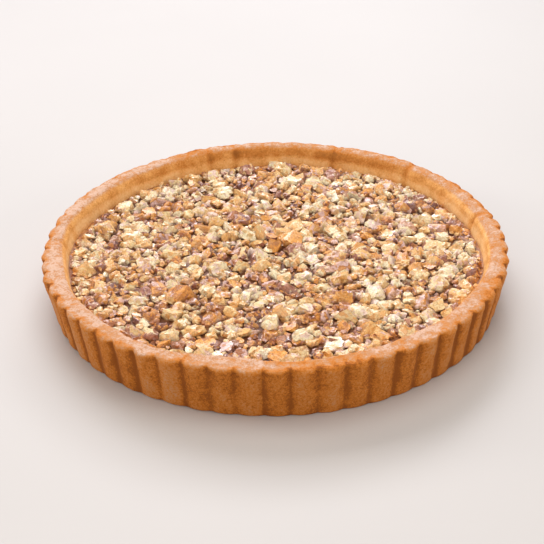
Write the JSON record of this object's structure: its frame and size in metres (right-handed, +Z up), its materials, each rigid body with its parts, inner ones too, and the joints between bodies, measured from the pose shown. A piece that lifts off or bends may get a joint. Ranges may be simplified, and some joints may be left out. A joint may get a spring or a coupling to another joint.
{
  "type": "walnut tart",
  "caption": "Round fluted shortcrust tart shell holding a filling closely covered with chopped walnuts.",
  "frame": {"origin": "centre of the flat underside", "axes": "+Z up, -Y towards the front of the tart"},
  "size_m": [0.2798, 0.2798, 0.032],
  "materials": {
    "pastry": "baked shortcrust, dry and slightly crumbly",
    "walnut_filling": "toasted chopped walnuts set in a glossy filling"
  },
  "bodies": {
    "root": {"pastry_shell": "pastry", "walnut_filling": "walnut_filling"}
  },
  "joints": []
}
